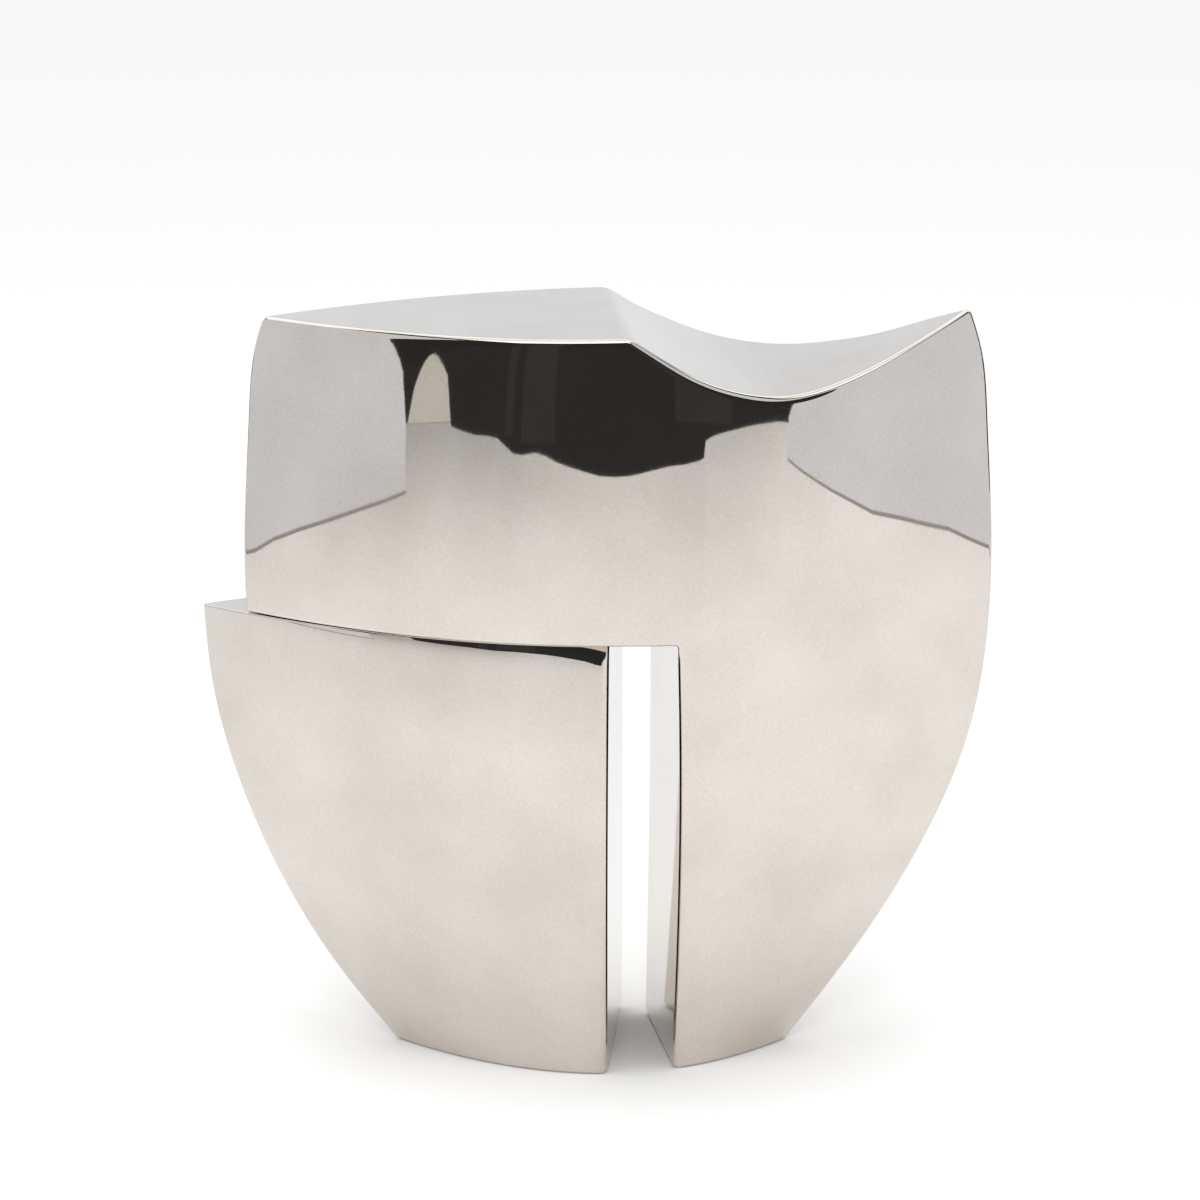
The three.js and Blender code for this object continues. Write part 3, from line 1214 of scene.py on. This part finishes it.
@dataclass(frozen=True)
class Boards:
    """The boards to the left and right, the post and the faint curtains in front.

    A board is a card from its foot, given in plan, to its top. The post is a card between
    its two sides. All were placed so that their outlines in the steel meet those in the
    photograph. A dim line of painted contact shadow stands just before each board's foot, at a
    share of its place.
    """

    left_foot: tuple[PlanPoint, ...] = (
        (-0.917, -0.620), (-0.925, -0.595), (-0.933, -0.570), (-0.942, -0.540), (-0.950, -0.519),
        (-0.970, -0.480), (-0.995, -0.430), (-1.017, -0.383), (-1.045, -0.320), (-1.070, -0.256),
        (-1.077, -0.178), (-1.040, -0.120), (-1.200, 0.900),
    )
    left_top: tuple[Point, ...] = (
        (-0.917, -0.620, 0.0), (-0.943, -0.620, 0.065), (-0.945, -0.611, 0.126),
        (-0.950, -0.594, 0.197), (-0.954, -0.580, 0.240), (-0.956, -0.571, 0.271),
        (-0.964, -0.543, 0.316), (-0.973, -0.510, 0.349), (-0.982, -0.475, 0.374),
        (-0.990, -0.455, 0.450), (-1.000, -0.430, 1.200), (-1.030, -0.300, 2.000),
        (-1.300, 0.900, 2.100),
    )
    right_foot: tuple[PlanPoint, ...] = (
        (1.015, -0.946), (1.007, -0.915), (1.000, -0.885), (0.993, -0.860), (0.985, -0.830),
        (0.978, -0.790), (0.970, -0.740), (0.962, -0.680), (0.957, -0.623), (0.968, -0.447),
        (1.045, -0.358), (1.135, -0.220), (1.040, 0.200),
    )
    right_top: tuple[Point, ...] = (
        (1.015, -0.949, 0.0), (1.018, -0.943, 0.053), (1.020, -0.930, 0.081),
        (1.020, -0.926, 0.108), (1.020, -0.896, 0.138), (1.020, -0.862, 0.159),
        (1.020, -0.823, 0.174), (1.020, -0.760, 0.240), (1.020, -0.730, 0.400),
        (1.020, -0.715, 0.600), (1.020, -0.710, 1.900), (1.020, -0.200, 1.900),
        (1.020, 0.200, 1.900),
    )
    post_left: tuple[Point, ...] = (
        (-1.694, -1.113, 0.0), (-1.683, -1.126, 0.073), (-1.673, -1.136, 0.152),
        (-1.655, -1.156, 0.240), (-1.641, -1.172, 0.291), (-1.628, -1.187, 0.311),
        (-1.607, -1.209, 0.315),
    )
    post_right: tuple[Point, ...] = (
        (-1.449, -1.384, 0.0), (-1.472, -1.359, 0.116), (-1.492, -1.336, 0.197),
        (-1.531, -1.294, 0.254), (-1.569, -1.252, 0.295), (-1.590, -1.230, 0.309),
        (-1.607, -1.209, 0.315),
    )
    # Painted contact shadow before each board's foot: its share of the foot's place, its height and its dim
    # light.
    shadow_line_place: float = 0.995
    shadow_line_height: float = 0.008
    shadow_line_strength: float = 0.40
    curtain_height: float = 2.2
    curtain_strength: float = 0.048
    curtain_columns: int = 5

    def cards(self) -> tuple[GlowCard, ...]:
        """Lists the cards of the boards, the post and the curtains.

        Returns:
            The cards.
        """
        left_foot, right_foot = (
            np.pad(np.array(foot), ((0, 0), (0, 1))) for foot in (self.left_foot, self.right_foot)
        )
        left, right = np.array((left_foot, self.left_top)), np.array((right_foot, self.right_top))
        post = np.array((self.post_left, self.post_right))
        return (
            GlowCard("left_board", (0.934, 0.952, 1.0), 0.874, left),
            GlowCard("right_board", (0.925, 0.945, 1.0), 0.92, right),
            GlowCard("light_post", (1.0, 0.985, 0.93), 0.68, post),
            self.foot_shadow_line("left_board_shadow_line", left_foot),
            self.foot_shadow_line("right_board_shadow_line", right_foot),
            self.curtain("left_curtain_edge", 1.62, (-32.0, -29.8)),
            self.curtain("left_curtain", 1.48, (-27.5, -18.0)),
            self.curtain("right_curtain", 1.85, (17.0, 33.0)),
        )

    def foot_shadow_line(self, name: str, foot: Array) -> GlowCard:
        """A thin dim line of painted contact shadow along the foot of a board.

        Args:
            name: Name of the line.
            foot: Points along the board's foot.

        Returns:
            The line, as a narrow upright sheet just before the board.
        """
        low = foot * self.shadow_line_place
        rows = np.array((low, low + np.array([0.0, 0.0, self.shadow_line_height])))
        # Painted contact shadow: a dim warm glow, darker than the board.
        return GlowCard(name, (1.0, 0.93, 0.88), self.shadow_line_strength, rows)

    def curtain(self, name: str, radius: float, span: PlanPoint) -> GlowCard:
        """A faint upright sheet in the dark in front.

        Args:
            name: Name of the sheet.
            radius: Its distance in metres.
            span: Azimuths of its left and right edges in degrees, from the front.

        Returns:
            The sheet.
        """
        turn = np.radians(np.linspace(*span, self.curtain_columns))
        rows = around(turn, radius, np.array([[0.0], [self.curtain_height]]))
        return GlowCard(name, WHITE, self.curtain_strength, rows)


@dataclass(frozen=True)
class Overhead:
    """The backdrop, the lit ceiling over it and the softbox, as flat cards across the work.

    Their shared edges run from the backdrop's foot over the work to the softbox's front. The
    backdrop is a little brighter to both sides, in steps too faint to see.
    """

    backdrop_tone: Point = (0.932, 0.959, 1.0)
    backdrop_steps: tuple[float, ...] = (-4.0, -0.55, -0.4, -0.28, -0.16, 0.16, 0.28, 0.4, 0.55, 4.0)
    backdrop_strengths: tuple[float, ...] = (0.975, 0.96, 0.94, 0.92, 0.904, 0.915, 0.93, 0.945, 0.96)
    ceiling_span: PlanPoint = (-1.8, 1.8)
    softbox_span: PlanPoint = (-0.95, 0.95)
    edges: tuple[PlanPoint, ...] = ((3.2, 0.0), (3.2, 2.54), (1.0, 2.2), (0.1, 2.2), (-0.98, 2.2))

    def cards(self) -> list[GlowCard]:
        """Lists the cards from the back to the front.

        Returns:
            The cards.
        """
        backdrop, ceiling, softbox_back, softbox_front = zip(self.edges, self.edges[1:])
        spans = zip(self.backdrop_steps, self.backdrop_steps[1:])
        cards = [
            GlowCard.flat(f"backdrop_{number}", self.backdrop_tone, strength, span, backdrop)
            for number, (span, strength) in enumerate(zip(spans, self.backdrop_strengths))
        ]
        return cards + [
            GlowCard.flat("back_ceiling", WHITE, 1.5, self.ceiling_span, ceiling),
            GlowCard.flat("softbox_back", WHITE, 1.08, self.softbox_span, softbox_back),
            GlowCard.flat("softbox_front", WHITE, 2.0, self.softbox_span, softbox_front),
        ]


@dataclass(frozen=True)
class SoftLight:
    """A round soft light for the floor, which the camera and the steel don't see.

    Its power is in watts, and its tilt is the turn from straight down in degrees.
    """

    name: str
    power: float
    place: Point
    tilt: float
    size: float

    def build(self) -> None:
        """Adds the light to the scene."""
        data = bpy.data.lights.new(self.name, "AREA")
        data.shape = "DISK"
        data.size = self.size
        data.energy = self.power
        light = add_object(self.name, data)
        light.location = self.place
        light.rotation_euler = (math.radians(self.tilt), 0.0, 0.0)
        light.visible_camera = False
        light.visible_glossy = False


@dataclass(frozen=True)
class Studio:
    """The plain pale studio around the sculpture.

    The floor is pale and lit evenly by the sky. The steel sees its light fall off into dim
    surroundings, with pale boards to the left and right, a light backdrop and an overhead
    softbox. The camera has a long lens, given in millimetres, and stands at the photograph's
    own place, a little above the work and turned up from straight down by a tilt in degrees.
    """

    floor_reach: float = 60.0
    floor_tone: Point = (0.96, 0.96, 0.96)
    sky_strength: float = 0.955
    dim_strength: float = 0.03
    lights: tuple[SoftLight, ...] = (
        SoftLight("overhead_softbox", 10.0, (-0.1, -0.2, 2.1), 5.0, 1.2),
        SoftLight("front_softbox", 11.5, (-0.1, -2.2, 1.5), 56.0, 0.8),
    )
    camera_place: Point = (0.0017, -2.1523, 0.7011)
    camera_tilt: float = 76.8
    camera_lens: float = 159.0
    camera_sensor: float = 36.0

    def floor(self) -> None:
        """Makes the pale matt floor."""
        material = bpy.data.materials.new("pale_floor")
        material.use_nodes = True
        matt = {"Base Color": (*self.floor_tone, 1.0), "Roughness": 1.0, "Specular IOR Level": 0.0}
        fill_inputs(material.node_tree, material.node_tree.nodes["Principled BSDF"], matt)
        ends = (-self.floor_reach, self.floor_reach)
        stage_sheet("floor", np.array([[(x, y, 0.0) for x in ends] for y in ends[::-1]]), material)

    def world(self) -> None:
        """Sets the surroundings: an even sky to the floor, and dim where the steel looks."""
        world = bpy.data.worlds.new("studio")
        world.use_nodes = True
        tree = world.node_tree
        tree.nodes.clear()
        rays = add_node(tree, "ShaderNodeLightPath", {}).outputs
        first = add_node(tree, "ShaderNodeMath", {0: rays["Is Glossy Ray"], 1: rays["Diffuse Depth"]})
        first.operation = "SUBTRACT"
        sky, dim = (
            add_node(tree, "ShaderNodeBackground", {"Color": (*WHITE, 1.0), "Strength": strength})
            for strength in (self.sky_strength, self.dim_strength)
        )
        mixed = {"Fac": first.outputs[0], 1: sky.outputs["Background"], 2: dim.outputs["Background"]}
        blend = add_node(tree, "ShaderNodeMixShader", mixed)
        add_node(tree, "ShaderNodeOutputWorld", {"Surface": blend.outputs["Shader"]})
        bpy.context.scene.world = world

    def camera(self) -> None:
        """Adds the camera and makes it the scene's own."""
        data = bpy.data.cameras.new("camera")
        data.lens = self.camera_lens
        data.sensor_width = self.camera_sensor
        camera = add_object("camera", data)
        camera.location = self.camera_place
        camera.rotation_euler = (math.radians(self.camera_tilt), 0.0, 0.0)
        bpy.context.scene.camera = camera

    def build(self) -> None:
        """Builds the whole studio."""
        bpy.context.scene.view_settings.view_transform = "Standard"
        self.camera()
        self.floor()
        FloorLight().build()
        for thing in (*Boards().cards(), *Overhead().cards(), *self.lights):
            thing.build()
        self.world()


def main() -> None:
    """Builds the studio and the two pieces."""
    logging.basicConfig(level=logging.INFO, format="%(name)s: %(message)s")
    Studio().build()
    for piece in (MainBody(), LowerBlock()):
        piece.dress(piece.build())
        LOG.info("%s is dressed and stands for %s", piece.name, piece.node)


if __name__ == "__main__":
    main()
